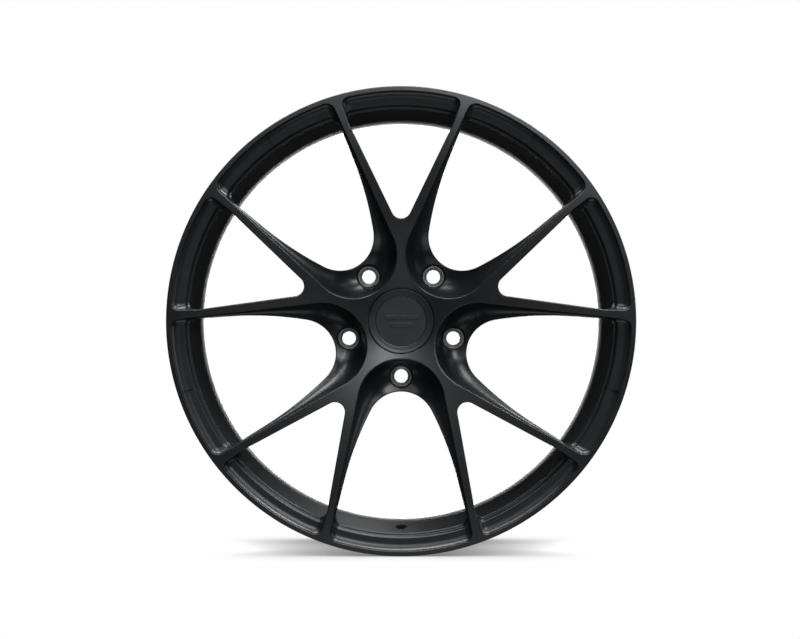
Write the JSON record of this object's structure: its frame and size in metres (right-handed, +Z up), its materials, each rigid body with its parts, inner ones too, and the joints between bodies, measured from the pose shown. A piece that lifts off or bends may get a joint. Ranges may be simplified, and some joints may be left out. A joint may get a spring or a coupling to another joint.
{
  "type": "forged racing wheel rim",
  "caption": "Satin black forged car wheel with forked spokes, pocketed lip, recessed bolt seats, deep barrel and a pull-off centre cap.",
  "frame": {"origin": "centre of the wheel's outer envelope, on the axle line and half way along the rim's width", "axes": "+Y along the axle from the face to the back, +Z up, wheel standing upright with its face towards -Y and the valve hole straight below the axle"},
  "size_m": [0.5474, 0.254, 0.5474],
  "materials": {
    "alloy": "satin",
    "seat_steel": "satin",
    "cap_plastic": "satin",
    "badge": "satin",
    "spring_steel": "satin",
    "cap_rubber": "matte"
  },
  "bodies": {
    "wheel": {"outer_flange": "alloy", "drop_centre": "alloy", "inner_barrel": "alloy", "inner_flange": "alloy", "hub": "alloy", "spoke_1": "alloy", "spoke_2": "alloy", "spoke_3": "alloy", "spoke_4": "alloy", "spoke_5": "alloy", "lug_seat_1": "seat_steel", "lug_seat_2": "seat_steel", "lug_seat_3": "seat_steel", "lug_seat_4": "seat_steel", "lug_seat_5": "seat_steel"},
    "cap": {"cap_body": "cap_plastic", "cap_badge": "badge", "cap_spring_ring": "spring_steel", "cap_o_ring": "cap_rubber"}
  },
  "joints": [
    {"name": "cap_pull", "type": "slide", "parent": "wheel", "child": "cap", "axis": [0, -1, 0], "range_m": [0, 0.06]}
  ]
}
